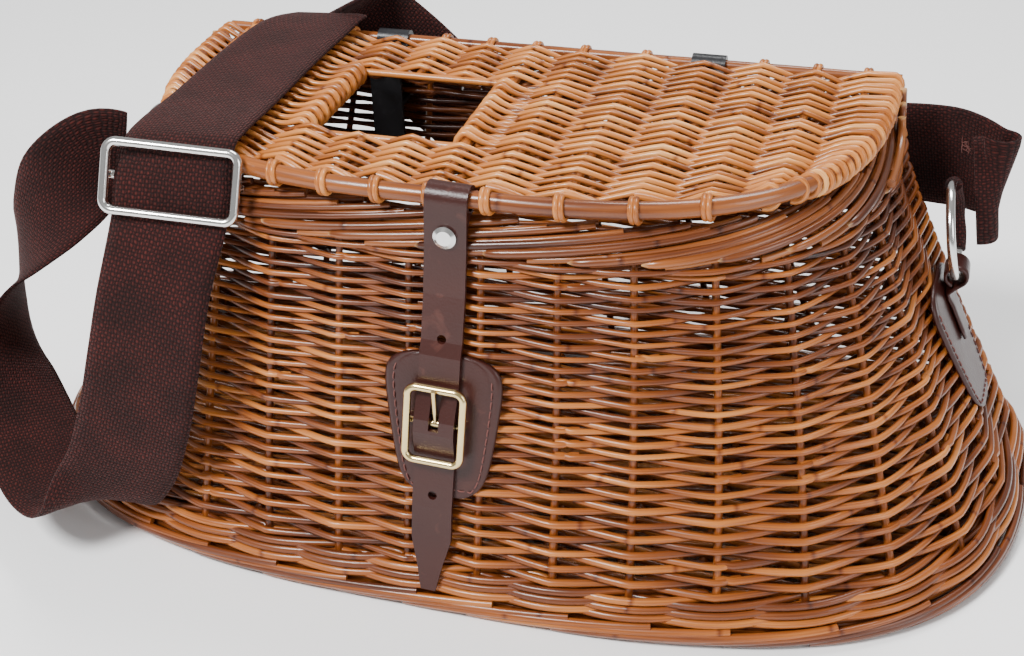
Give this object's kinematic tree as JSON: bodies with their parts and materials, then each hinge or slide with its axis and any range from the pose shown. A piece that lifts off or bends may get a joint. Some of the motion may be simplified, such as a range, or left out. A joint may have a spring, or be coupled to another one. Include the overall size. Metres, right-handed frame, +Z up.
{
  "type": "wicker creel basket",
  "caption": "Flared D-shaped willow basket with hinged woven lid and hatch, leather strap and buckle closure, and a wide webbing shoulder strap on rings.",
  "frame": {"origin": "centre of the flat underside that the basket rests on", "axes": "+X to the basket's right seen from the front, +Y toward the flat back, +Z up"},
  "size_m": [0.5103, 0.2696, 0.2135],
  "materials": {
    "willow_body": "glossy varnished buff willow",
    "willow_lid": "glossy varnished buff willow, lighter",
    "willow_rods": "glossy varnished willow rods",
    "brown_leather": "smooth dark brown, semi-gloss",
    "black_leather": "smooth black, semi-gloss",
    "webbing": "coarse plain-woven cotton webbing",
    "thread": "waxed thread",
    "brass": "polished",
    "nickel": "polished nickel plate"
  },
  "bodies": {
    "basket": {"base_panel": "willow_body", "base_sticks": "willow_rods", "foot_border": "willow_rods", "lower_wale": "willow_rods", "wall_weave": "willow_body", "rim_wale": "willow_body", "top_border": "willow_rods", "side_stakes": "willow_rods", "corner_posts": "willow_rods", "front_patch": "brown_leather", "front_patch_stitching": "thread", "buckle_chape": "brown_leather", "tab_left": "brown_leather", "tab_right": "brown_leather", "tab_left_loop": "brown_leather", "tab_right_loop": "brown_leather", "tab_left_stitching": "thread", "tab_right_stitching": "thread", "hinge_left": "black_leather", "hinge_right": "black_leather", "hinge_tail_left": "black_leather", "hinge_tail_right": "black_leather", "strap_behind": "webbing", "strap_loop": "webbing"},
    "lid": {"lid_weave": "willow_lid", "lid_sticks": "willow_rods", "lid_frame_rod": "willow_rods", "lid_back_rod": "willow_rods", "lid_end_sticks": "willow_rods", "hatch_rod_left": "willow_rods", "hatch_rod_right": "willow_rods", "hatch_edge_rods": "willow_rods", "strap_over_lid": "webbing"},
    "closure_strap": {"closure_strap": "brown_leather", "closure_rivet": "nickel"},
    "buckle": {"buckle_frame": "brass", "buckle_bar": "brass"},
    "buckle_prong": {"buckle_prong": "brass"},
    "ring_left": {"ring_left": "nickel", "strap_end_left": "webbing"},
    "ring_right": {"ring_right": "nickel", "strap_end_right": "webbing"},
    "slider": {"slider_frame": "nickel", "slider_bar": "nickel"}
  },
  "joints": [
    {"name": "lid_hinge", "type": "hinge", "parent": "basket", "child": "lid", "pos_m": [0, 0.082, 0.1905], "axis": [-1, 0, 0], "range_deg": [0, 100], "deforming": ["strap_over_lid", "strap_loop", "strap_behind"]},
    {"name": "closure_swing", "type": "hinge", "parent": "lid", "child": "closure_strap", "pos_m": [0.00367, -0.0792, 0.19092], "axis": [-0.999, 0, 0.0454], "range_deg": [-80, 0], "deforming": ["closure_strap"]},
    {"name": "buckle_tilt", "type": "hinge", "parent": "basket", "child": "buckle", "pos_m": [-0.00073, -0.10002, 0.09402], "axis": [0.999, 0, -0.0454], "range_deg": [-5, 5]},
    {"name": "prong_lift", "type": "hinge", "parent": "buckle", "child": "buckle_prong", "pos_m": [-0.00073, -0.10002, 0.09402], "axis": [0.999, 0, -0.0454], "range_deg": [0, 100]},
    {"name": "ring_left_swing", "type": "hinge", "parent": "basket", "child": "ring_left", "pos_m": [-0.203, 0.042, 0.117], "axis": [0, 1, 0], "range_deg": [-6, 6]},
    {"name": "ring_right_swing", "type": "hinge", "parent": "basket", "child": "ring_right", "pos_m": [0.203, 0.042, 0.117], "axis": [0, 1, 0], "range_deg": [-6, 6]},
    {"name": "slider_slide", "type": "slide", "parent": "lid", "child": "slider", "axis": [-0.0189, -0.409, -0.9123], "range_m": [0, 0.008]}
  ],
  "couplings": [
    {"joint": "closure_swing", "follows": "lid_hinge", "ratio": -0.8}
  ]
}
